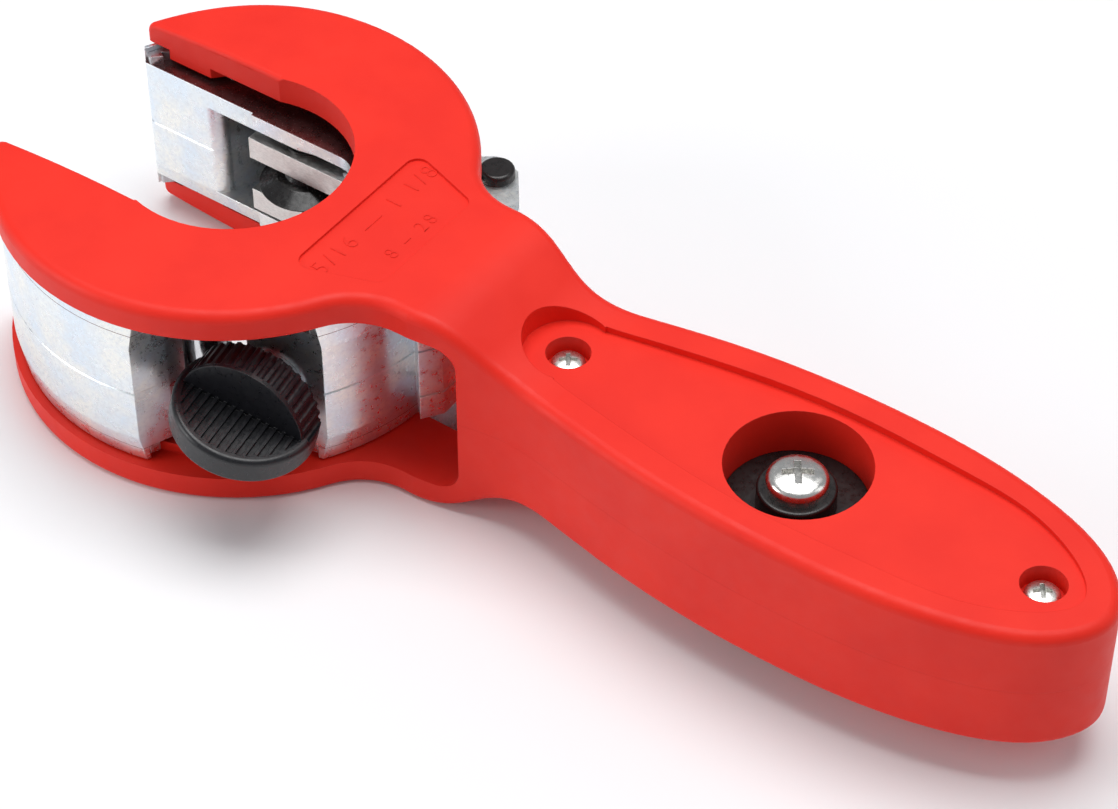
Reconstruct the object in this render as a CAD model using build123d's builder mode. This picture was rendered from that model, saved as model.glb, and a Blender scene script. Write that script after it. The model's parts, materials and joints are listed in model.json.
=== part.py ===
"""Ratcheting tube cutter: a C-shaped steel head that turns inside the forked front of a moulded handle.

Frame: origin on the head's turning axis at its seam, +X along the handle, +Z along the tube.
The mouth opens towards -X, the feed knob is on the -Y side and the cutter wheel on the +Y side.
"""

from build123d import *
import math
import os

os.makedirs("parts", exist_ok=True)

# ---- driving dimensions, mm and degrees ----
CHEEK_R = 39.7            # handle fork, outer radius
CHEEK_TOP = 20.2          # outer face of each cheek, above the parting plane
CHEEK_UNDER = 15.2        # inner face of each cheek
NECK_WALL_R = 56.0        # wall behind the head
THROAT_R = 19.3           # round throat in the cheeks
MOUTH_HALF = 18.4         # half width of the mouth in the cheeks
HANDLE_END = 162.0        # far end of the grip
GRIP_TOP = 12.3           # outer face of the grip, above the parting plane
PANEL_Z = 11.2            # floor of the long lens-shaped panel
EDGE_R, LOWER_EDGE_R = 1.8, 1.3   # rounding of the outer edges, upper and lower shell
DRAFT = 0.18              # the grip's sides lean in by this much per mm of height
SCREW_XS = (65.8, 150.2)  # case screws
CENTRE_X = 108.1          # big round recess
RECESS_R = 11.5
RECESS_FLOOR = 1.4
BUSH_SPIGOT_R = 6.0
BUSH_TOP = 6.6            # seat of the centre screw's head
SCREW_SEAT = 7.8          # seat of the case screws' heads
INSERT_R, INSERT_L = 2.3, 7.0

HEAD_R = 39.0             # head, outer radius
HEAD_H = 14.85            # half height over the rims
PLATE_H = 12.3            # tray floor
CREASE_H = 9.85           # below it the outer wall is upright, above it leans in
CAVITY_H = 10.0           # half height of the inside spaces
RIM_IN = 37.6             # inner face of the outer rim
SEAM = 0.2                # small bevel along the joint between the head's halves
HEAD_THROAT_R = 18.7
MOUTH_FAR = 15.6          # mouth wall on the wheel side
MOUTH_NEAR = 18.2         # mouth wall on the roller side
MOUTH_CREASE, MOUTH_LEAN = 9.3, 0.55   # above this height the mouth's walls lean back by this much

KNOB_X, KNOB_Y = 24.9, -26.6   # centre of the knob barrel's back face
FEED_ANGLE = 100.0             # direction in which the carriage closes
KNOB_R = 10.9
BARREL_L = 6.2
FIN_R = 11.9              # round finger grip across the knob's front
FIN_T = 5.0
FIN_IN = 1.6              # depth of the finger grip's centre behind the front face
FIN_ROLL = 13.0
HUB_R, HUB_L = 6.0, 3.7
PIN_T = 2.2               # cross pin that ties the knob to the screw
NOTCH_T = 4.6             # the knob's seat face, ahead of the barrel's back
SEAT_T = 9.5              # end of the screw's bearing wall
FEED_R = 2.5              # feed screw radius
TRAVEL = 26.25            # carriage travel
ROLLER_R = 4.0
ROLLER_GAP = 10.0         # between the rollers' axes
ROLLER_V, ROLLER_T = -12.65, 5.85
ROLLER_H = 7.3
FORK_IN, FORK_OUT = 7.6, 9.6

WHEEL_X, WHEEL_Y = -1.3, 18.9
WHEEL_R = 8.2
BAR_IN, BAR_OUT = 3.45, 7.75
PIVOT_X, PIVOT_Y = 31.0, 29.0   # wheel arm's pivot
PIVOT_R = 2.0
PIN_R = 1.8               # wheel pin
FIT = 0.05                # radial running clearance
GAP = 0.3                 # clearance between moving bodies

TEETH = 60                # ratchet teeth in a full circle
RING_OUT = 37.55
RING_ROOT = 36.6
RING_TIP = 35.3
LAND_OUT, LAND_IN, LAND_H = 35.0, 27.8, 2.0   # guide land under each cheek
PAWL_W = 5.0

FEED = Plane(
    origin=(KNOB_X, KNOB_Y, 0),
    x_dir=(math.sin(math.radians(FEED_ANGLE)), -math.cos(math.radians(FEED_ANGLE)), 0),
    z_dir=(0, 0, 1),
)
FEED_AXIS = Plane(origin=FEED.origin, x_dir=FEED.x_dir, z_dir=FEED.y_dir)


def save(part, name):
    """Labels a finished piece and writes its file."""
    part.label = name
    export_step(part, f"parts/{name}.step")


def level(plane, height):
    """The plane moved up to a height above the parting plane."""
    return Plane(origin=plane.origin + Vector(0, 0, height), x_dir=plane.x_dir, z_dir=(0, 0, 1))


def flipped(part):
    """The piece mirrored to the lower side of the parting plane."""
    return mirror(part, about=Plane.XY, mode=Mode.PRIVATE)


# ---- handle ----
GRIP_HALF = [
    (46, 15.2),
    (54, 13.9),
    (62, 12.6),
    (71, 13.6),
    (85, 16.2),
    (100, 17.9),
    (115, 18.4),
    (130, 17.7),
    (143, 15.4),
    (152, 12.2),
    (158.6, 7.4),
]
DRAFT_START, DRAFT_FULL = 54, 75


def grip_loop(height):
    """Closed line round the grip at a height above the parting plane."""
    half = [(x, y - DRAFT * height * min(1, max(0, (x - DRAFT_START) / (DRAFT_FULL - DRAFT_START)))) for x, y in GRIP_HALF]
    end = (HANDLE_END - 0.4 * DRAFT * height, 0)
    with BuildLine() as loop:
        Spline([*half, end, *[(x, -y) for x, y in reversed(half)]])
        Polyline((46, -15.2), (20, -15.2), (20, 15.2), (46, 15.2))
    return loop.line


def grip_outline():
    """Fork disc and grip as one outline, waisted behind the fork."""
    with BuildSketch() as outline:
        with BuildLine():
            add(grip_loop(0))
        make_face()
        Circle(CHEEK_R)
        waist = [v for v in outline.vertices() if 30 < v.X < 40 and abs(v.Y) > 14]
        fillet(waist, 12)
    return outline.sketch


def drafted_space():
    """Room whose sides are the grip's leaning sides; it is wide open round the fork."""
    top = CHEEK_TOP + 1
    with BuildPart() as space:
        for height in (0, top):
            with BuildSketch(Plane.XY.offset(height)):
                with BuildLine():
                    add(grip_loop(height))
                make_face()
        loft(ruled=True)
        with Locations((DRAFT_START - 60, 0, 0)):
            Box(120, 120, top, align=(Align.CENTER, Align.CENTER, Align.MIN))
    return space.part


def top_profile():
    """What is cut away above the handle's outer face, seen from the side."""
    with BuildSketch(Plane.XZ) as above:
        with BuildLine():
            ThreePointArc((-44, 17.6), (-26, 19.6), (-6, CHEEK_TOP))
            Line((-6, CHEEK_TOP), (47, CHEEK_TOP))
            Spline([(47, CHEEK_TOP), (58.5, 15.4), (71, GRIP_TOP)], tangents=[(1, 0), (1, 0)])
            ThreePointArc((71, GRIP_TOP), (118, GRIP_TOP + 0.2), (HANDLE_END + 4, 11.4))
            Polyline((HANDLE_END + 4, 11.4), (HANDLE_END + 4, 30), (-44, 30), (-44, 17.6))
        make_face()
    return above.sketch


def panel_outline():
    """Long lens around the screws, with the round end of the scoop."""
    half = [(68, 7.2), (86, 10.6), (108, 12.9), (130, 12.2), (147, 9.0)]
    with BuildSketch() as panel:
        with BuildLine():
            Spline([*half, (156.6, 0), *[(x, -y) for x, y in reversed(half)]])
            Line((68, -7.2), (68, 7.2))
        make_face()
        with Locations((SCREW_XS[0], 0)):
            Circle(7.3)
    return panel.sketch


def size_panel_outline():
    """Shallow trapezoid for the size marks on the cheek."""
    with BuildSketch() as plate:
        with BuildLine():
            Polyline((24.4, -16.6), (24.4, 16.6), (38.8, 11.8), (38.8, -11.8), close=True)
        make_face()
        fillet(plate.vertices(), 2.2)
    return plate.sketch


def fork_space():
    """Room in which the head and its knob turn, rounded where the cheek meets the neck."""
    with BuildPart() as room:
        Cylinder(NECK_WALL_R, CHEEK_UNDER, align=(Align.CENTER, Align.CENTER, Align.MIN))
        fillet(room.edges().group_by(Axis.Z)[-1], 4)
    return room.part


def handle_shell(screws_enter):
    """One shell, built above the parting plane: the case screws enter it, or bite in its inserts."""
    space = fork_space()
    leaning = drafted_space()
    with BuildPart() as shell:
        with BuildSketch():
            add(grip_outline())
        extrude(amount=CHEEK_TOP + 1)
        add(leaning, mode=Mode.INTERSECT)
        with BuildSketch(Plane.XZ):
            add(top_profile())
        extrude(amount=60, both=True, mode=Mode.SUBTRACT)
        rim = [
            e
            for e in shell.edges()
            if e.center().Z > 8 and sum(1 for f in shell.faces() if f.normal_at().Z > 0.3 and e in f.edges()) == 1
        ]
        fillet(rim, EDGE_R if screws_enter else LOWER_EDGE_R)
        # fork: space for the head, throat and mouth
        add(space, mode=Mode.SUBTRACT)
        with BuildSketch(Plane.XY.offset(CHEEK_UNDER - 1)):
            Circle(THROAT_R)
            with Locations((-30, 0)):
                Rectangle(60, 2 * MOUTH_HALF)
        extrude(amount=10, mode=Mode.SUBTRACT)
        tips = [
            e
            for e in shell.edges().filter_by(Axis.Z)
            if e.center().X < -30 and abs(abs(e.center().Y) - MOUTH_HALF) < 0.5
        ]
        fillet(tips, 0.9)
        # guide land that runs in the head's tray, open at the pawl
        with BuildSketch(Plane.XY.offset(CHEEK_UNDER)):
            Circle(LAND_OUT)
            Circle(LAND_IN, mode=Mode.SUBTRACT)
            with Locations((-30, 0)):
                Rectangle(60, 2 * MOUTH_HALF, mode=Mode.SUBTRACT)
            with Locations((30, 0)):
                Rectangle(30, PAWL_W + 2 * GAP, mode=Mode.SUBTRACT)
        extrude(amount=-LAND_H)
        # pocket of the pawl and its spring
        with BuildSketch(Plane.XY.offset(CHEEK_UNDER)):
            with Locations((40.2, 0)):
                Rectangle(15.2, PAWL_W + 2 * GAP)
            with Locations((29.6, 0)):
                Rectangle(6.4, 3.0)
        extrude(amount=2.4, mode=Mode.SUBTRACT)
        # marks panel, grip panel with its scoop, recess and screw holes
        with BuildSketch(Plane.XY.offset(CHEEK_TOP - 0.45)):
            add(size_panel_outline())
        extrude(amount=4, mode=Mode.SUBTRACT)
        with BuildSketch(Plane.XY.offset(PANEL_Z)):
            add(panel_outline())
        extrude(amount=12, mode=Mode.SUBTRACT)
        with BuildSketch(Plane.XY.offset(RECESS_FLOOR)):
            with Locations((CENTRE_X, 0)):
                Circle(RECESS_R)
        extrude(amount=12, mode=Mode.SUBTRACT)
        with BuildSketch():
            with Locations((CENTRE_X, 0)):
                Circle(BUSH_SPIGOT_R)
        extrude(amount=RECESS_FLOOR, mode=Mode.SUBTRACT)
        with BuildSketch():
            with Locations(*[(x, 0) for x in SCREW_XS]):
                Circle(1.6 if screws_enter else INSERT_R)
        extrude(amount=INSERT_L, mode=Mode.SUBTRACT)
        if screws_enter:
            with BuildSketch():
                with Locations(*[(x, 0) for x in SCREW_XS]):
                    Circle(1.6)
            extrude(amount=PANEL_Z, mode=Mode.SUBTRACT)
            with BuildSketch(Plane.XY.offset(SCREW_SEAT)):
                with Locations(*[(x, 0) for x in SCREW_XS]):
                    Circle(3.6)
            extrude(amount=PANEL_Z, mode=Mode.SUBTRACT)
        # coring inside the grip
        with BuildSketch():
            with Locations((84, 0)):
                Trapezoid(18, 17, 78, rotation=90)
            with Locations((134, 0)):
                Trapezoid(20, 16, 82, rotation=-90)
        extrude(amount=8.4, mode=Mode.SUBTRACT)
    return shell.part


save(handle_shell(screws_enter=True), "upper_handle_shell")
save(flipped(handle_shell(screws_enter=False)), "lower_handle_shell")


# ---- fasteners of the handle ----
CROSS_TURN = 35           # the crosses in the screw heads all stopped at this turn


def pan_screw(shank_r, length, head_r, head_h, seat, slot):
    """Pan-head screw along Z with a cross recess, hanging from its seat."""
    with BuildPart() as screw:
        with BuildSketch(Plane.XZ):
            with BuildLine():
                Line((0, seat), (head_r, seat))
                Line((head_r, seat), (head_r, seat + 0.35 * head_h))
                Spline(
                    (head_r, seat + 0.35 * head_h),
                    (0.6 * head_r, seat + 0.88 * head_h),
                    (0, seat + head_h),
                    tangents=[(0, 1), (-1, 0)],
                )
                Line((0, seat + head_h), (0, seat))
            make_face()
        revolve(axis=Axis.Z)
        with BuildSketch(Plane.XY.offset(seat + 0.45 * head_h)):
            Rectangle(head_r, slot, rotation=CROSS_TURN)
            Rectangle(slot, head_r, rotation=CROSS_TURN)
        extrude(amount=head_h, mode=Mode.SUBTRACT)
        with BuildSketch(Plane.XY.offset(seat)):
            Circle(shank_r)
        extrude(amount=-length)
        chamfer(screw.edges().group_by(Axis.Z)[0], 0.3)
    return screw.part


def group(piece, places):
    """Equal pieces as separate solids of one node."""
    with BuildPart() as pieces:
        with Locations(*places):
            add(piece)
    return pieces.part


SCREW_PLACES = [(x, 0, 0) for x in SCREW_XS]
case_screw = pan_screw(1.5, 14.0, 2.8, 2.1, SCREW_SEAT, 0.7)
save(group(case_screw, SCREW_PLACES), "case_screws")

with BuildPart() as insert:
    with BuildSketch():
        Circle(INSERT_R)
        Circle(1.5, mode=Mode.SUBTRACT)
    extrude(amount=-INSERT_L)
save(group(insert.part, SCREW_PLACES), "case_inserts")

with BuildPart() as centre_bush:
    with BuildSketch(Plane.XY.offset(RECESS_FLOOR)):
        with Locations((CENTRE_X, 0)):
            Circle(RECESS_R - 0.1)
    extrude(amount=1.4)
    with BuildSketch():
        with Locations((CENTRE_X, 0)):
            Circle(BUSH_SPIGOT_R - 0.05)
    extrude(amount=RECESS_FLOOR)
    with BuildSketch(Plane.XY.offset(RECESS_FLOOR)):
        with Locations((CENTRE_X, 0)):
            Circle(6.2)
    extrude(amount=BUSH_TOP - RECESS_FLOOR)
    fillet(centre_bush.edges().group_by(Axis.Z)[-1], 0.5)
    with Locations((CENTRE_X, 0)):
        Hole(2.6)
save(centre_bush.part, "upper_centre_bush")
save(flipped(centre_bush.part), "lower_centre_bush")

centre_screw = pan_screw(2.5, 17.6, 4.9, 3.3, BUSH_TOP, 1.1)
save(group(centre_screw, [(CENTRE_X, 0, 0)]), "centre_screw")

with BuildPart() as centre_nut:
    with BuildSketch(Plane.XY.offset(-BUSH_TOP)):
        with Locations((CENTRE_X, 0)):
            RegularPolygon(4.0, 6, major_radius=False)
            Circle(2.5, mode=Mode.SUBTRACT)
    extrude(amount=-4.0)
save(centre_nut.part, "centre_nut")


# ---- ratchet pawls, in the cheeks ----
def polar(radius, angle):
    """Point at a radius and an angle in degrees about the head's axis."""
    return (radius * math.cos(math.radians(angle)), radius * math.sin(math.radians(angle)))


PAWL_LOW, PAWL_HIGH = CHEEK_UNDER + GAP, CHEEK_UNDER + 2.1
PAWL_IN = 34.5            # inner end of the pawl at rest
SPRING_END = 26.5

with BuildPart() as pawl:
    with BuildSketch(Plane.XY.offset(PAWL_LOW)):
        with Locations(((PAWL_IN + 46.8) / 2, 0)):
            Rectangle(46.8 - PAWL_IN, PAWL_W)
    extrude(amount=PAWL_HIGH - PAWL_LOW)
    with BuildSketch(Plane.XY.offset(PLATE_H + 0.5)):
        with BuildLine():
            Polyline(
                polar(RING_ROOT - 0.35, -0.6),
                polar(RING_ROOT - 1.15, -3.7),
                (PAWL_IN, -2.3),
                (PAWL_IN, -0.4),
                close=True,
            )
        make_face()
    extrude(amount=PAWL_LOW - PLATE_H - 0.5)
save(pawl.part, "upper_pawl")
save(flipped(pawl.part), "lower_pawl")


def coil(radius, wire, length, turns, origin, direction):
    """Compression spring from origin along a direction."""
    with BuildPart() as upright:
        with BuildLine() as path:
            Helix(pitch=(length - 2 * wire) / turns, height=length - 2 * wire, radius=radius, center=(0, 0, wire))
        with BuildSketch(Plane(origin=path.line @ 0, z_dir=path.line % 0)):
            Circle(wire)
        sweep()
    with BuildPart() as spring:
        with Locations(Plane(origin=origin, z_dir=direction).location):
            add(upright.part)
    return spring.part


pawl_spring = coil(0.85, 0.2, PAWL_IN - SPRING_END - 0.1, 7, (SPRING_END + 0.05, 0, CHEEK_UNDER + 1.3), (1, 0, 0))
save(pawl_spring, "upper_pawl_spring")
save(flipped(pawl_spring), "lower_pawl_spring")


# ---- head ----
LOBE = [(24.5, 30.4), (28, 33), (33.2, 31.9), (38.5, 24.8), (43, 14.5), (45, 4), (45, -5), (42.6, -8.3), (38.6, -4.2)]
HEAD_SCREWS = [(-19, 23.8), (-20, -23), (31.8, -2)]
ARM_BACK = [(-10.3, 22.5), (-3, 26.6), (14, 27.0), (27.6, 31.6)]
WHEEL_SPRING_X = 11.0
ARM_FRONT = [(33.0, 26.2), (16.5, 18.4), (12.2, WHEEL_Y - 4.1), (-10.3, WHEEL_Y - 4.1)]


def head_plan(inset=0.0):
    """C-shaped plan of the head, as it is or drawn in all round."""
    with BuildSketch() as plan:
        Circle(HEAD_R)
        with BuildSketch(mode=Mode.SUBTRACT):
            Circle(HEAD_THROAT_R)
            with Locations((-30, (MOUTH_FAR - MOUTH_NEAR) / 2)):
                Rectangle(60, MOUTH_FAR + MOUTH_NEAR)
            with Locations((0, MOUTH_FAR + 10)):
                Rectangle(120, 20, mode=Mode.SUBTRACT)
        fillet([v for v in plan.vertices() if v.X < -30], 2.4)
        fillet([v for v in plan.vertices() if v.X > 5 and v.Y > 14], 5)
        if inset:
            offset(amount=-inset)
    return plan.sketch


def notch_plan():
    """Room for the knob in the head's rim, on the feed plane."""
    with BuildSketch(FEED) as notch:
        with BuildLine():
            Polyline(
                (-19.9, -11.5),
                (-14.6, -3.1),
                (-13.4, 0.1),
                (-13.4, NOTCH_T),
                (16, NOTCH_T),
                (16, -22),
                (-19, -22),
                close=True,
            )
        make_face()
    return notch.sketch


def lobe_plan(inset):
    """Plan of the block at the back, as it is or drawn in at a groove."""
    with BuildSketch() as plan:
        with BuildLine():
            Polyline(*LOBE, (30, 0), close=True)
        make_face()
        if inset:
            offset(amount=-inset)
        Circle(HEAD_THROAT_R + 4, mode=Mode.SUBTRACT)
    return plan.sketch


with BuildPart() as head_shell:
    with BuildSketch():
        add(head_plan())
    extrude(amount=HEAD_H)
    chamfer(head_shell.faces().sort_by(Axis.Z)[0].outer_wire().edges(), SEAM)
    # the outer wall leans in above the crease
    with BuildSketch(Plane.XZ):
        with BuildLine():
            Polyline((HEAD_R, CREASE_H), (HEAD_R + 3, CREASE_H), (HEAD_R + 3, HEAD_H), (HEAD_R - 0.8, HEAD_H), close=True)
        make_face()
    revolve(axis=Axis.Z, mode=Mode.SUBTRACT)
    # block at the back that holds the pivot of the wheel arm, with a groove along it
    for start, end, inset in ((0, 4.7, 0), (4.7, 5.1, 0.35), (5.1, CREASE_H - 0.05, 0)):
        with BuildSketch(Plane.XY.offset(start)):
            add(lobe_plan(inset))
        extrude(amount=end - start)
    # tray inside the outer rim
    with BuildSketch(Plane.XY.offset(PLATE_H)):
        Circle(RIM_IN)
    extrude(amount=3, mode=Mode.SUBTRACT)
    # the mouth's walls lean back near the tray
    with BuildSketch(Plane.YZ.offset(-HEAD_R - 1)):
        for wall in (MOUTH_FAR, -MOUTH_NEAR):
            back = math.copysign(MOUTH_LEAN, wall)
            with BuildLine():
                Polyline((wall, MOUTH_CREASE), (wall + back, PLATE_H), (wall + back, HEAD_H + 1), (0, HEAD_H + 1), (0, MOUTH_CREASE), close=True)
            make_face()
    extrude(amount=HEAD_R - 9, mode=Mode.SUBTRACT)
    add(extrude(notch_plan(), amount=20, mode=Mode.PRIVATE), mode=Mode.SUBTRACT)
    # channel of the roller carriage
    with BuildSketch(FEED):
        with Locations((-16.45, 23)):
            Rectangle(24.1, 46)
        with Locations((1.4, (SEAT_T + 46) / 2)):
            Rectangle(11.6, 46 - SEAT_T)
    extrude(amount=CAVITY_H, mode=Mode.SUBTRACT)
    # window of the wheel arm
    with BuildSketch():
        with BuildLine():
            Polyline(
                (-17.4, 18.2),
                (-14, 29.4),
                (8, 29.4),
                (27, 32.8),
                (33, 24.6),
                (17, 16.9),
                (14, 13),
                (-20, 13),
                (-20, 15.6),
            )
            ThreePointArc((-20, 15.6), (-18.16, 16.36), (-17.4, 18.2))
        make_face()
        with Locations((PIVOT_X, PIVOT_Y)):
            Circle(4.4)
    extrude(amount=BAR_OUT + 0.35, mode=Mode.SUBTRACT)
    with BuildSketch(Plane.XY.offset(BAR_OUT)):
        with BuildLine():
            Polyline((-17.4, 18.2), (-14, 29.4), (8, 29.4), (8, 13), (-20, 13), (-20, 15.6))
            ThreePointArc((-20, 15.6), (-18.16, 16.36), (-17.4, 18.2))
        make_face()
    extrude(amount=1.5, mode=Mode.SUBTRACT)
    # spring pocket, screw bores, pivot bore and the bearing of the feed screw
    with BuildSketch(Plane(origin=(WHEEL_SPRING_X, 29, 0), z_dir=(0, 1, 0))):
        Circle(3.2)
    extrude(amount=4.6, mode=Mode.SUBTRACT)
    with BuildSketch():
        with Locations(*HEAD_SCREWS):
            Circle(1.55)
        with Locations((PIVOT_X, PIVOT_Y)):
            Circle(PIVOT_R)
    extrude(amount=HEAD_H, mode=Mode.SUBTRACT)
    with BuildSketch(FEED_AXIS):
        Circle(FEED_R + FIT)
    extrude(amount=SEAT_T + 2, mode=Mode.SUBTRACT)

with BuildPart() as upper_head_shell:
    add(head_shell.part)
    with Locations(*[(x, y, PLATE_H) for x, y in HEAD_SCREWS]):
        Cone(1.55, 2.9, 1.35, align=(Align.CENTER, Align.CENTER, Align.MAX), mode=Mode.SUBTRACT)
save(upper_head_shell.part, "upper_head_shell")

with BuildPart() as lower_head_shell:
    add(flipped(head_shell.part))
    with BuildSketch(Plane.XY.offset(-PLATE_H)):
        with Locations(*HEAD_SCREWS):
            RegularPolygon(2.7, 6, major_radius=False)
    extrude(amount=1.8, mode=Mode.SUBTRACT)
save(lower_head_shell.part, "lower_head_shell")

with BuildPart() as ratchet_ring:
    with BuildSketch(Plane.XY.offset(PLATE_H)) as ring_sketch:
        Circle(RING_OUT)
        with BuildLine():
            pitch = 360 / TEETH
            teeth = [p for k in range(TEETH) for p in (polar(RING_TIP, k * pitch), polar(RING_ROOT, (k + 1) * pitch - 0.01))]
            Polyline(*teeth, close=True)
        make_face(mode=Mode.SUBTRACT)
        add(head_plan(0.5), mode=Mode.INTERSECT)
    extrude(amount=1.6)
    add(extrude(notch_plan(), amount=20, mode=Mode.PRIVATE), mode=Mode.SUBTRACT)
save(ratchet_ring.part, "upper_ratchet_ring")
save(flipped(ratchet_ring.part), "lower_ratchet_ring")

with BuildPart() as head_screw:
    with BuildSketch(Plane.XZ):
        with BuildLine():
            Polyline(
                (0, PLATE_H - 0.1),
                (2.75, PLATE_H - 0.1),
                (1.5, PLATE_H - 1.35),
                (1.5, -PLATE_H + 0.1),
                (0, -PLATE_H + 0.1),
                close=True,
            )
        make_face()
    revolve(axis=Axis.Z)
    with BuildSketch(Plane.XY.offset(PLATE_H - 0.1)):
        Rectangle(3.0, 0.7)
        Rectangle(0.7, 3.0)
    extrude(amount=-0.9, mode=Mode.SUBTRACT)
save(group(head_screw.part, [(x, y, 0) for x, y in HEAD_SCREWS]), "head_screws")

with BuildPart() as head_nuts:
    with BuildSketch(Plane.XY.offset(-PLATE_H + 0.1)):
        with Locations(*HEAD_SCREWS):
            RegularPolygon(2.6, 6, major_radius=False)
            Circle(1.5, mode=Mode.SUBTRACT)
    extrude(amount=1.7)
save(head_nuts.part, "head_nuts")

with BuildPart() as arm_pivot_pin:
    with BuildSketch(Plane.XY.offset(-CREASE_H + 0.05)):
        with Locations((PIVOT_X, PIVOT_Y)):
            Circle(PIVOT_R)
    extrude(amount=2 * CREASE_H - 0.1)
save(arm_pivot_pin.part, "arm_pivot_pin")

with BuildPart() as arm_pivot_cap:
    with BuildSketch(Plane.XY.offset(CREASE_H - 0.05)):
        with Locations((PIVOT_X, PIVOT_Y)):
            Circle(3.0)
    extrude(amount=1.9)
    fillet(arm_pivot_cap.edges().group_by(Axis.Z)[-1], 0.7)
save(arm_pivot_cap.part, "arm_pivot_cap")

with BuildPart() as thrust_washer:
    with BuildSketch(FEED_AXIS.offset(NOTCH_T - 0.6)):
        Circle(5.6)
        Circle(FEED_R + 0.3, mode=Mode.SUBTRACT)
    extrude(amount=0.6)
save(thrust_washer.part, "thrust_washer")

wheel_spring = coil(2.1, 0.35, 6.4, 5, (WHEEL_SPRING_X, 27.1, 0), (0, 1, 0))
save(wheel_spring, "wheel_spring")

# ---- wheel arm and cutter wheel ----
with BuildPart() as wheel_arm:
    with BuildSketch():
        with BuildLine():
            Polyline(*ARM_BACK, *ARM_FRONT, close=True)
        make_face()
        with Locations((PIVOT_X, PIVOT_Y)):
            Circle(3.5)
            Circle(PIVOT_R + FIT, mode=Mode.SUBTRACT)
    extrude(amount=BAR_OUT, both=True)
    with BuildSketch():
        with Locations((-2, 20)):
            Rectangle(20.4, 20)
    extrude(amount=BAR_IN, both=True, mode=Mode.SUBTRACT)
    with Locations((WHEEL_X, WHEEL_Y)):
        Hole(PIN_R)
save(wheel_arm.part, "wheel_arm")

with BuildPart() as wheel_pin:
    with BuildSketch(Plane.XY.offset(-BAR_OUT)):
        with Locations((WHEEL_X, WHEEL_Y)):
            Circle(PIN_R)
    extrude(amount=2 * BAR_OUT + 1.1)
    with BuildSketch(Plane.XY.offset(-BAR_OUT)):
        with Locations((WHEEL_X, WHEEL_Y)):
            Circle(2.9)
    extrude(amount=-0.9)
save(wheel_pin.part, "wheel_pin")

with BuildPart() as wheel_clip:
    with BuildSketch(Plane.XY.offset(BAR_OUT)):
        with Locations((WHEEL_X, WHEEL_Y)):
            Circle(3.1)
            Circle(PIN_R, mode=Mode.SUBTRACT)
        with Locations((WHEEL_X + 2.6, WHEEL_Y)):
            Rectangle(2.4, 1.6, mode=Mode.SUBTRACT)
    extrude(amount=0.6)
save(wheel_clip.part, "wheel_clip")

with BuildPart() as cutter_wheel:
    with BuildSketch(Plane.XZ):
        with BuildLine():
            Polyline(
                (PIN_R + FIT, -3.1),
                (3.3, -3.1),
                (3.9, -2.0),
                (5.2, -1.7),
                (WHEEL_R, -0.05),
                (WHEEL_R, 0.05),
                (5.2, 1.7),
                (3.9, 2.0),
                (3.3, 3.1),
                (PIN_R + FIT, 3.1),
                close=True,
            )
        make_face()
    revolve(axis=Axis.Z)
save(group(cutter_wheel.part, [(WHEEL_X, WHEEL_Y, 0)]), "cutter_wheel")

# ---- roller carriage ----
ROLLER_PLACES = [(ROLLER_V, ROLLER_T), (ROLLER_V - ROLLER_GAP, ROLLER_T)]

with BuildPart() as roller_carriage:
    with BuildSketch(FEED):
        with Locations((ROLLER_V - ROLLER_GAP / 2, ROLLER_T)):
            SlotCenterToCenter(ROLLER_GAP, 10.4)
        with BuildLine():
            Polyline((-14, 5), (-14, 9.5), (-8.6, 15.4), (-4, 15.4), (-4, 10.8), (-5, 10.8), (-5, 5), close=True)
        make_face()
    extrude(amount=FORK_OUT, both=True)
    with BuildSketch(FEED):
        with Locations((-18, 8)):
            Rectangle(27, 17)
    extrude(amount=FORK_IN, both=True, mode=Mode.SUBTRACT)
    with BuildSketch(FEED):
        with Locations((0.75, 13.1)):
            Rectangle(11.5, 4.6)
    extrude(amount=FORK_OUT, both=True)
    with BuildSketch(FEED):
        with Locations(*ROLLER_PLACES):
            Circle(1.5)
    extrude(amount=FORK_OUT, both=True, mode=Mode.SUBTRACT)
    with BuildSketch(FEED_AXIS):
        Circle(FEED_R + FIT)
    extrude(amount=30, mode=Mode.SUBTRACT)
save(roller_carriage.part, "roller_carriage")

with BuildPart() as roller_pins:
    with BuildSketch(level(FEED, -FORK_OUT)):
        with Locations(*ROLLER_PLACES):
            Circle(1.5)
    extrude(amount=2 * FORK_OUT)
save(roller_pins.part, "roller_pins")

for name, place in zip(("right_roller", "left_roller"), ROLLER_PLACES):
    with BuildPart() as roller:
        with BuildSketch(level(FEED, -ROLLER_H)):
            with Locations(place):
                Circle(ROLLER_R)
                Circle(1.5 + FIT, mode=Mode.SUBTRACT)
        extrude(amount=2 * ROLLER_H)
        chamfer(roller.edges().filter_by(GeomType.CIRCLE).sort_by(SortBy.RADIUS)[-2:], 0.4)
    save(roller.part, name)

# ---- feed knob and screw ----
fin_plane = Plane(
    origin=FEED_AXIS.origin - FEED_AXIS.z_dir * (BARREL_L - FIN_IN),
    x_dir=FEED.x_dir * math.cos(math.radians(FIN_ROLL)) - Vector(0, 0, math.sin(math.radians(FIN_ROLL))),
    z_dir=FEED.x_dir * math.sin(math.radians(FIN_ROLL)) + Vector(0, 0, math.cos(math.radians(FIN_ROLL))),
)

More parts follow.
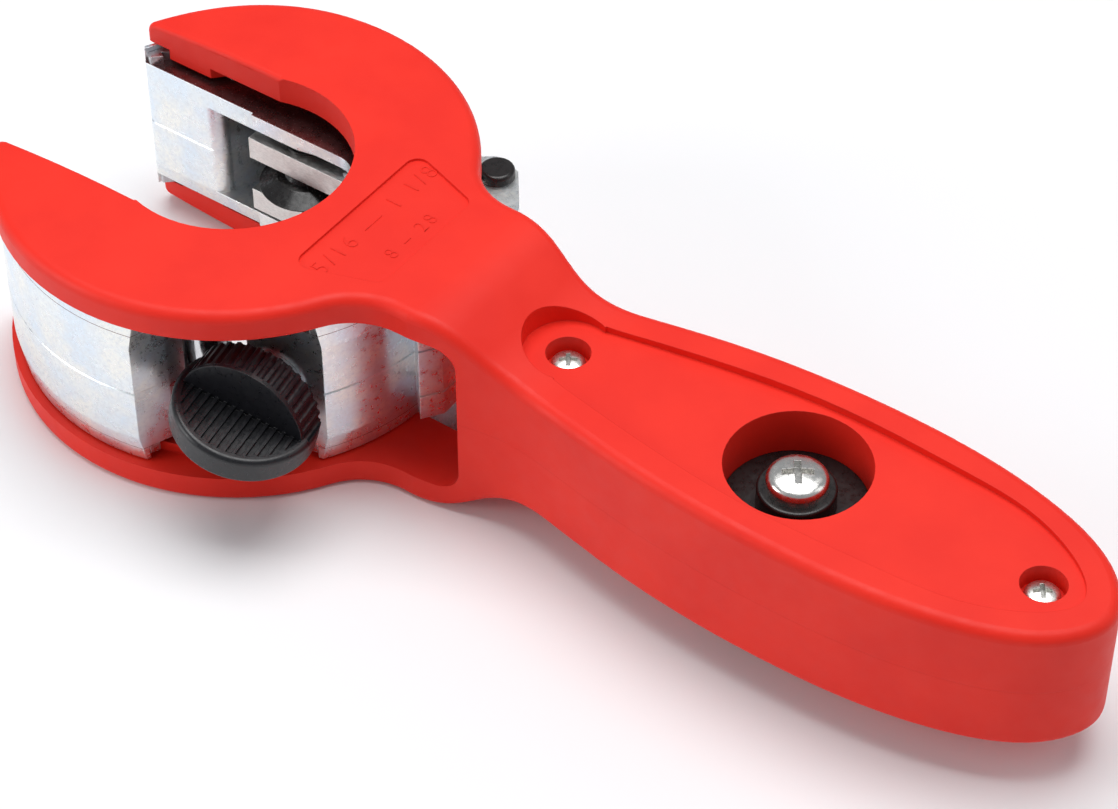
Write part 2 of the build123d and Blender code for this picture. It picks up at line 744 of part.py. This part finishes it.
with BuildPart() as feed_knob:
    with BuildSketch(fin_plane):
        Circle(FIN_R)
        with Locations((0, FIN_R + BARREL_L - FIN_IN - 0.4)):
            Rectangle(2 * FIN_R, 2 * FIN_R, mode=Mode.SUBTRACT)
    extrude(amount=FIN_T / 2, both=True)
    fillet([e for e in feed_knob.edges() if e.geom_type == GeomType.CIRCLE], 0.9)
    for side in (-1, 1):
        with BuildSketch(Plane(origin=fin_plane.origin, x_dir=fin_plane.x_dir, z_dir=fin_plane.z_dir * side).offset(FIN_T / 2)):
            with GridLocations(1.5, 1, 14, 1):
                Rectangle(0.9, 2 * FIN_R)
            Circle(FIN_R - 1.5, mode=Mode.INTERSECT)
        extrude(amount=-0.5, mode=Mode.SUBTRACT)
    with BuildSketch(FEED_AXIS.offset(-BARREL_L)):
        Circle(KNOB_R)
    extrude(amount=BARREL_L)
    with BuildSketch(FEED_AXIS.offset(-BARREL_L + 0.8)):
        with PolarLocations(KNOB_R + 0.25, 36):
            Circle(0.68)
    extrude(amount=BARREL_L, mode=Mode.SUBTRACT)
    with BuildSketch(FEED_AXIS):
        Circle(HUB_R)
    extrude(amount=HUB_L)
    with BuildSketch(FEED_AXIS.offset(-5)):
        Circle(FEED_R)
    extrude(amount=HUB_L + 5, mode=Mode.SUBTRACT)
    with BuildSketch(Plane(origin=FEED_AXIS.origin + FEED_AXIS.z_dir * PIN_T, z_dir=FEED.x_dir)):
        Circle(1.0)
    extrude(amount=5.8, both=True, mode=Mode.SUBTRACT)
save(feed_knob.part, "feed_knob")

THREAD_START, THREAD_END, THREAD_PITCH, THREAD_DEPTH = 10.8, 16.0 + TRAVEL, 1.5, 0.4

with BuildPart() as feed_screw:
    with BuildSketch(Plane(origin=FEED_AXIS.origin, x_dir=FEED.x_dir, z_dir=-FEED.z_dir)):
        pitches = int((THREAD_END - THREAD_START) / THREAD_PITCH)
        crests = [
            p
            for k in range(pitches)
            for p in (
                (FEED_R, -(THREAD_START + THREAD_PITCH * k)),
                (FEED_R - THREAD_DEPTH, -(THREAD_START + THREAD_PITCH * (k + 0.5))),
            )
        ]
        with BuildLine():
            Polyline((0, 5), (FEED_R, 5), *crests, (FEED_R, -THREAD_END), (FEED_R - 0.6, -THREAD_END - 0.4), (0, -THREAD_END - 0.4), close=True)
        make_face()
    revolve(axis=Axis(FEED_AXIS.origin, FEED_AXIS.z_dir))
    with BuildSketch(Plane(origin=FEED_AXIS.origin + FEED_AXIS.z_dir * PIN_T, z_dir=FEED.x_dir)):
        Circle(1.0)
    extrude(amount=5.8, both=True, mode=Mode.SUBTRACT)
save(feed_screw.part, "feed_screw")

with BuildPart() as knob_pin:
    with BuildSketch(Plane(origin=FEED_AXIS.origin + FEED_AXIS.z_dir * PIN_T, z_dir=FEED.x_dir)):
        Circle(1.0)
    extrude(amount=5.7, both=True)
save(knob_pin.part, "knob_pin")

with BuildPart() as screw_clip:
    with BuildSketch(FEED_AXIS.offset(SEAT_T + GAP)):
        Circle(4.2)
        Circle(FEED_R, mode=Mode.SUBTRACT)
    extrude(amount=0.7)
save(screw_clip.part, "screw_clip")
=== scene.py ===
import json
import math

import bmesh
import bpy
from mathutils import Matrix, Vector


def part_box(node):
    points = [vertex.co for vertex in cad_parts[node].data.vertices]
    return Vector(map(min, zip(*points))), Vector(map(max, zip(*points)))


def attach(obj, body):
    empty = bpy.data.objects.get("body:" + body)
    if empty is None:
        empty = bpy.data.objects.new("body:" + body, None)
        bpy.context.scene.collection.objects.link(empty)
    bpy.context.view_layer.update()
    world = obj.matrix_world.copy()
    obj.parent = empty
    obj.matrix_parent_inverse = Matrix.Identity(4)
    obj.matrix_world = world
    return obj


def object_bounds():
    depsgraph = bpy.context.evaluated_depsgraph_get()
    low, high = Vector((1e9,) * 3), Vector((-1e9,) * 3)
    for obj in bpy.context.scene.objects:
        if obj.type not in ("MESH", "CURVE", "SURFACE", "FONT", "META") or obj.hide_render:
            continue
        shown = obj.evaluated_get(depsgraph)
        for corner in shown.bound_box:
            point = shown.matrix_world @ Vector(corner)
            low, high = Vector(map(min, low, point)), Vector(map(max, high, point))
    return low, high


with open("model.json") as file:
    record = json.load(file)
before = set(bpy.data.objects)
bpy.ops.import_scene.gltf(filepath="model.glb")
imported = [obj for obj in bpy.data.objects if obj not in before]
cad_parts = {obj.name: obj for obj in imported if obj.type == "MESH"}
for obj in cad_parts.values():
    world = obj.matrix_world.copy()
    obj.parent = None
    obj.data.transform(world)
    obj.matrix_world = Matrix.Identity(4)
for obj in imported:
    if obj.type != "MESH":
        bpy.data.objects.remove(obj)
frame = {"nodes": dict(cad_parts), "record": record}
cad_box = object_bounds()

MM = 0.001
TRAY_FLOOR = 12.3 * MM            # height of the trays' floors in the head's shells
LEVEL_SLACK = 0.05 * MM           # how far from that height a face still counts as floor

# ---- numerals on the cheeks ----
PANEL_DEPTH = 0.45 * MM           # depth of the panel under the cheek's face
MARK_RELIEF = 0.10 * MM           # half thickness of a numeral
MARK_SINK = 0.02 * MM             # how far a numeral's middle lies under the panel
MARK_THIN = -0.10 * MM            # strokes are this much slimmer than the font's
SIZE_MARKS = (                    # name, text, place along the handle, height, spacing
    ("inch_marks", "5/16 \u2014 1 1/8", 28.6, 4.5, 1.25),
    ("mm_marks", "8 \u2013 28", 35.6, 3.6, 1.3),
)

# ---- camera ----
AIM = Vector((64.66, -0.89, 0)) * MM
AZIMUTH, ELEVATION = math.radians(35.32), math.radians(44.29)
DISTANCE = 538.2 * MM
LENS, SENSOR = 110.03, 36
CLIP = (0.01, 10)

# ---- light and floor, in metres and watts ----
SKY_COLOR, SKY_STRENGTH = (0.93, 0.96, 1, 1), 0.34
SOFTBOXES = (                     # name, place, target, size, power
    ("overhead", (0.02, 0.10, 0.75), (0.06, 0, 0), (0.7, 0.5), 5.4),
    ("front_left", (-0.50, -0.55, 0.28), (0.03, 0, 0), (0.35, 0.5), 2.4),
    ("right_rim", (0.60, 0.35, 0.40), (0.06, 0, 0), (0.25, 0.5), 0.4),
)
FLOOR_HALF = 1.5
FLOOR_COLOR, FLOOR_ROUGHNESS = (0.86, 0.86, 0.87), 0.9


def aim(item, target):
    """Turns a camera or a light to look at a point."""
    item.rotation_euler = (Vector(target) - item.location).to_track_quat("-Z", "Y").to_euler()


def add_camera():
    """The photograph's viewpoint: square to the aim point, with no shift."""
    data = bpy.data.cameras.new("camera")
    data.lens, data.sensor_width = LENS, SENSOR
    data.clip_start, data.clip_end = CLIP
    camera = bpy.data.objects.new("camera", data)
    bpy.context.scene.collection.objects.link(camera)
    camera.location = AIM + DISTANCE * Vector((
        math.sin(AZIMUTH) * math.cos(ELEVATION),
        -math.cos(AZIMUTH) * math.cos(ELEVATION),
        math.sin(ELEVATION),
    ))
    aim(camera, AIM)
    bpy.context.scene.camera = camera


def add_softbox(name, place, target, size, power):
    """A rectangular lamp that faces a point."""
    data = bpy.data.lights.new(name, "AREA")
    data.shape = "RECTANGLE"
    data.size, data.size_y = size
    data.energy = power
    light = bpy.data.objects.new(name, data)
    bpy.context.scene.collection.objects.link(light)
    light.location = place
    aim(light, target)


def add_studio():
    """Soft even light with three lamps, and a pale floor under the tool."""
    world = bpy.data.worlds.new("studio")
    bpy.context.scene.world = world
    world.use_nodes = True
    back = world.node_tree.nodes["Background"]
    back.inputs["Color"].default_value = SKY_COLOR
    back.inputs["Strength"].default_value = SKY_STRENGTH
    for softbox in SOFTBOXES:
        add_softbox(*softbox)
    bpy.context.scene.view_settings.view_transform = "Standard"

    floor_mesh = bpy.data.meshes.new("floor")
    build = bmesh.new()
    low = cad_box[0][2]
    signs = ((-1, -1), (1, -1), (1, 1), (-1, 1))
    corners = [build.verts.new((x * FLOOR_HALF, y * FLOOR_HALF, low)) for x, y in signs]
    build.faces.new(corners)
    build.to_mesh(floor_mesh)
    build.free()
    floor = bpy.data.objects.new("floor", floor_mesh)
    bpy.context.scene.collection.objects.link(floor)
    floor_mesh.materials.append(Finish("floor_paper", FLOOR_COLOR, FLOOR_ROUGHNESS).material)


# ---- materials ----
class Finish:
    """A procedural material on object coordinates, with short calls for its nodes."""

    def __init__(self, name, color, roughness, metallic=0.0):
        self.material = bpy.data.materials.new(name)
        self.material.use_nodes = True
        self.tree = self.material.node_tree
        self.shader = self.tree.nodes["Principled BSDF"]
        self.shader.inputs["Base Color"].default_value = (*color, 1)
        self.shader.inputs["Roughness"].default_value = roughness
        self.shader.inputs["Metallic"].default_value = metallic
        self.place = self.tree.nodes.new("ShaderNodeTexCoord").outputs["Object"]
        self.normal = None

    def node(self, kind, **inputs):
        """A new node, with each named input linked to a socket or set to a value."""
        made = self.tree.nodes.new(kind)
        for key, value in inputs.items():
            socket = made.inputs[key.replace("_", " ")]
            if isinstance(value, bpy.types.NodeSocket):
                self.tree.links.new(value, socket)
            else:
                socket.default_value = value
        return made

    def stretched(self, x, y, z):
        """Object coordinates scaled along each axis, for grain that runs one way."""
        mapping = self.node("ShaderNodeMapping", Vector=self.place, Scale=(x, y, z))
        return mapping.outputs["Vector"]

    def noise(self, size, detail=3.0, place=None, roughness=0.5):
        """Cloudy noise, 0 to 1, whose patches are about this size in millimetres."""
        made = self.node(
            "ShaderNodeTexNoise",
            Vector=place or self.place,
            Scale=1 / (size * MM),
            Detail=detail,
            Roughness=roughness,
        )
        return made.outputs["Fac"]

    def ramp(self, value, low, high, start=0.35, end=0.65):
        """Turns a 0 to 1 pattern to a range of numbers."""
        made = self.node("ShaderNodeMapRange", Value=value)
        for key, number in (("From Min", start), ("From Max", end), ("To Min", low), ("To Max", high)):
            made.inputs[key].default_value = number
        return made.outputs["Result"]

    def level_faces(self, height):
        """1 on level faces this far above or below the parting plane, 0 elsewhere."""
        up = self.node("ShaderNodeSeparateXYZ", Vector=self.place).outputs["Z"]
        away = self.node("ShaderNodeMath")
        away.operation = "ABSOLUTE"
        self.tree.links.new(up, away.inputs[0])
        near = self.node("ShaderNodeMath")
        near.operation = "COMPARE"
        self.tree.links.new(away.outputs[0], near.inputs[0])
        near.inputs[1].default_value = height
        near.inputs[2].default_value = LEVEL_SLACK
        return near.outputs[0]

    def mix(self, share, first, second):
        """Colour between two colours."""
        made = self.tree.nodes.new("ShaderNodeMix")
        made.data_type = "RGBA"
        self.tree.links.new(share, made.inputs["Factor"])
        for key, value in (("A", first), ("B", second)):
            socket = [s for s in made.inputs if s.name == key and s.type == "RGBA"][0]
            if isinstance(value, bpy.types.NodeSocket):
                self.tree.links.new(value, socket)
            else:
                socket.default_value = (*value, 1)
        return [s for s in made.outputs if s.type == "RGBA"][0]

    def color(self, socket):
        """Takes the base colour from a socket."""
        self.tree.links.new(socket, self.shader.inputs["Base Color"])

    def roughness(self, socket):
        """Takes the roughness from a socket."""
        self.tree.links.new(socket, self.shader.inputs["Roughness"])

    def round_edges(self, radius):
        """Catches light along hard edges, as a real edge broken by this many millimetres does."""
        self.normal = self.node("ShaderNodeBevel", Radius=radius * MM).outputs["Normal"]
        self.tree.links.new(self.normal, self.shader.inputs["Normal"])

    def bump(self, height, depth):
        """Relief of this depth in millimetres."""
        made = self.node("ShaderNodeBump", Height=height, Distance=depth * MM, Strength=1.0)
        if self.normal:
            self.tree.links.new(self.normal, made.inputs["Normal"])
        self.normal = made.outputs["Normal"]
        self.tree.links.new(self.normal, self.shader.inputs["Normal"])


def handle_plastic():
    """Red moulded plastic with a fine spark-eroded grain."""
    look = Finish("red_plastic", (0.78, 0.020, 0.009), 0.42)
    look.color(look.mix(look.ramp(look.noise(14, 4), 0, 1), (0.76, 0.018, 0.008), (0.81, 0.023, 0.010)))
    look.roughness(look.ramp(look.noise(3.0, 5), 0.46, 0.55))
    look.shader.inputs["Specular IOR Level"].default_value = 0.28
    look.round_edges(0.15)
    look.bump(look.noise(9, 2), 0.03)
    look.bump(look.noise(0.28, 4, roughness=0.65), 0.012)
    return look.material


def zinc_plate():
    """Bright zinc: faintly blue and cream in clouds; on the floors of the trays, painted shade and a
    painted dark red reflection of the red cheeks, with lighter dust speckles.
    """
    look = Finish("zinc_plate", (0.82, 0.86, 0.90), 0.3, 0.94)
    clouds = look.ramp(look.noise(7, 4, roughness=0.55), 0, 1, 0.38, 0.62)
    plate = look.mix(clouds, (0.76, 0.84, 0.92), (0.90, 0.90, 0.86))
    grain = look.ramp(look.noise(0.7, 5, roughness=0.7), 0, 1, 0.45, 0.75)
    plate = look.mix(grain, plate, (0.72, 0.75, 0.79))
    # Tray floors: painted shade and a painted dark red reflection of the cheeks above them, broken by
    # lighter dust speckles; the level-face mask puts this on the floors only.
    dust_and_reflection = look.ramp(look.noise(0.35, 4, roughness=0.7), 0, 1, 0.60, 0.72)
    floor = look.mix(dust_and_reflection, (0.16, 0.075, 0.075), (0.60, 0.50, 0.50))
    look.color(look.mix(look.level_faces(TRAY_FLOOR), plate, floor))
    look.roughness(look.ramp(look.noise(1.6, 6, roughness=0.7), 0.24, 0.38))
    look.round_edges(0.22)
    look.bump(look.noise(0.35, 5, look.stretched(1, 1, 0.12), 0.7), 0.0015)
    look.bump(look.noise(2.2, 3), 0.006)
    return look.material


def brushed(name, color, roughness, stretch, edge=0.2):
    """Steel with a fine grain along one direction."""
    look = Finish(name, color, roughness, 1.0)
    grain = look.noise(0.25, 4, look.stretched(*stretch), 0.6)
    darker = tuple(0.82 * c for c in color)
    look.color(look.mix(look.ramp(grain, 0, 1), darker, color))
    look.roughness(look.ramp(look.noise(1.2, 4), roughness - 0.06, roughness + 0.10))
    look.round_edges(edge)
    look.bump(grain, 0.0015)
    return look.material


def black_coat(name, color, roughness):
    """Black finish on steel, thinner and greyer in places."""
    look = Finish(name, color, roughness)
    paler = tuple(1.5 * c for c in color)
    look.color(look.mix(look.ramp(look.noise(1.4, 5, roughness=0.65), 0, 1, 0.4, 0.8), color, paler))
    look.roughness(look.ramp(look.noise(0.8, 5), roughness - 0.05, roughness + 0.08))
    look.round_edges(0.2)
    look.bump(look.noise(0.25, 4), 0.002)
    return look.material


def speckled(name, color, roughness, size):
    """Bright plated steel with a sparkling crystal grain."""
    look = Finish(name, color, roughness, 1.0)
    darker = tuple(0.85 * c for c in color)
    look.color(look.mix(look.ramp(look.noise(size, 5, roughness=0.7), 0, 1), darker, color))
    look.roughness(look.ramp(look.noise(size * 0.6, 4), roughness - 0.04, roughness + 0.08))
    look.round_edges(0.12)
    look.bump(look.noise(size, 4, roughness=0.6), 0.003)
    return look.material


FINISHES = {
    "handle_plastic": handle_plastic(),
    "zinc_plate": zinc_plate(),
    "zinc_screw": speckled("zinc_screw", (0.80, 0.80, 0.76), 0.30, 0.5),
    "nickel": speckled("nickel", (0.84, 0.83, 0.80), 0.24, 1.5),
    "black_oxide": black_coat("black_oxide", (0.008, 0.006, 0.006), 0.30),
    "knob_black": black_coat("knob_black", (0.006, 0.006, 0.008), 0.32),
    "hard_steel": brushed("hard_steel", (0.58, 0.58, 0.60), 0.30, (1, 1, 0.2)),
    "spring_steel": brushed("spring_steel", (0.45, 0.45, 0.46), 0.35, (1, 1, 1)),
    "arm_steel": brushed("arm_steel", (0.78, 0.76, 0.73), 0.34, (0.4, 1, 1)),
    "wheel_steel": black_coat("wheel_steel", (0.008, 0.007, 0.007), 0.24),
    "roller_steel": brushed("roller_steel", (0.82, 0.83, 0.85), 0.16, (1, 1, 8)),
    "brass": brushed("brass", (0.80, 0.58, 0.25), 0.30, (1, 1, 1)),
}


def dress_nodes():
    """Gives every CAD node the finish of its slot."""
    for part in frame["record"]["subparts"]:
        item = frame["nodes"][part["node"]]
        item.data.materials.clear()
        item.data.materials.append(FINISHES[part["material_slot"]])


def add_size_marks():
    """Raised numerals on each cheek: the smallest and largest tube, in inches and in millimetres."""
    low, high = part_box("upper_handle_shell")
    floor = high.z - PANEL_DEPTH - MARK_SINK
    for side, flip in (("upper", 0), ("lower", math.pi)):
        for name, text, x, size, spread in SIZE_MARKS:
            data = bpy.data.curves.new(f"{side}_{name}", "FONT")
            data.body, data.size, data.space_character = text, size * MM, spread
            data.align_x, data.align_y = "CENTER", "CENTER"
            data.extrude, data.offset = MARK_RELIEF, MARK_THIN
            data.materials.append(FINISHES["handle_plastic"])
            mark = bpy.data.objects.new(f"{side}_{name}", data)
            bpy.context.scene.collection.objects.link(mark)
            mark.matrix_world = (
                Matrix.Rotation(flip, 4, "X")
                @ Matrix.Translation((x * MM, 0, floor))
                @ Matrix.Rotation(math.radians(90), 4, "Z")
            )
            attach(mark, "handle")


add_camera()
add_studio()
dress_nodes()
add_size_marks()
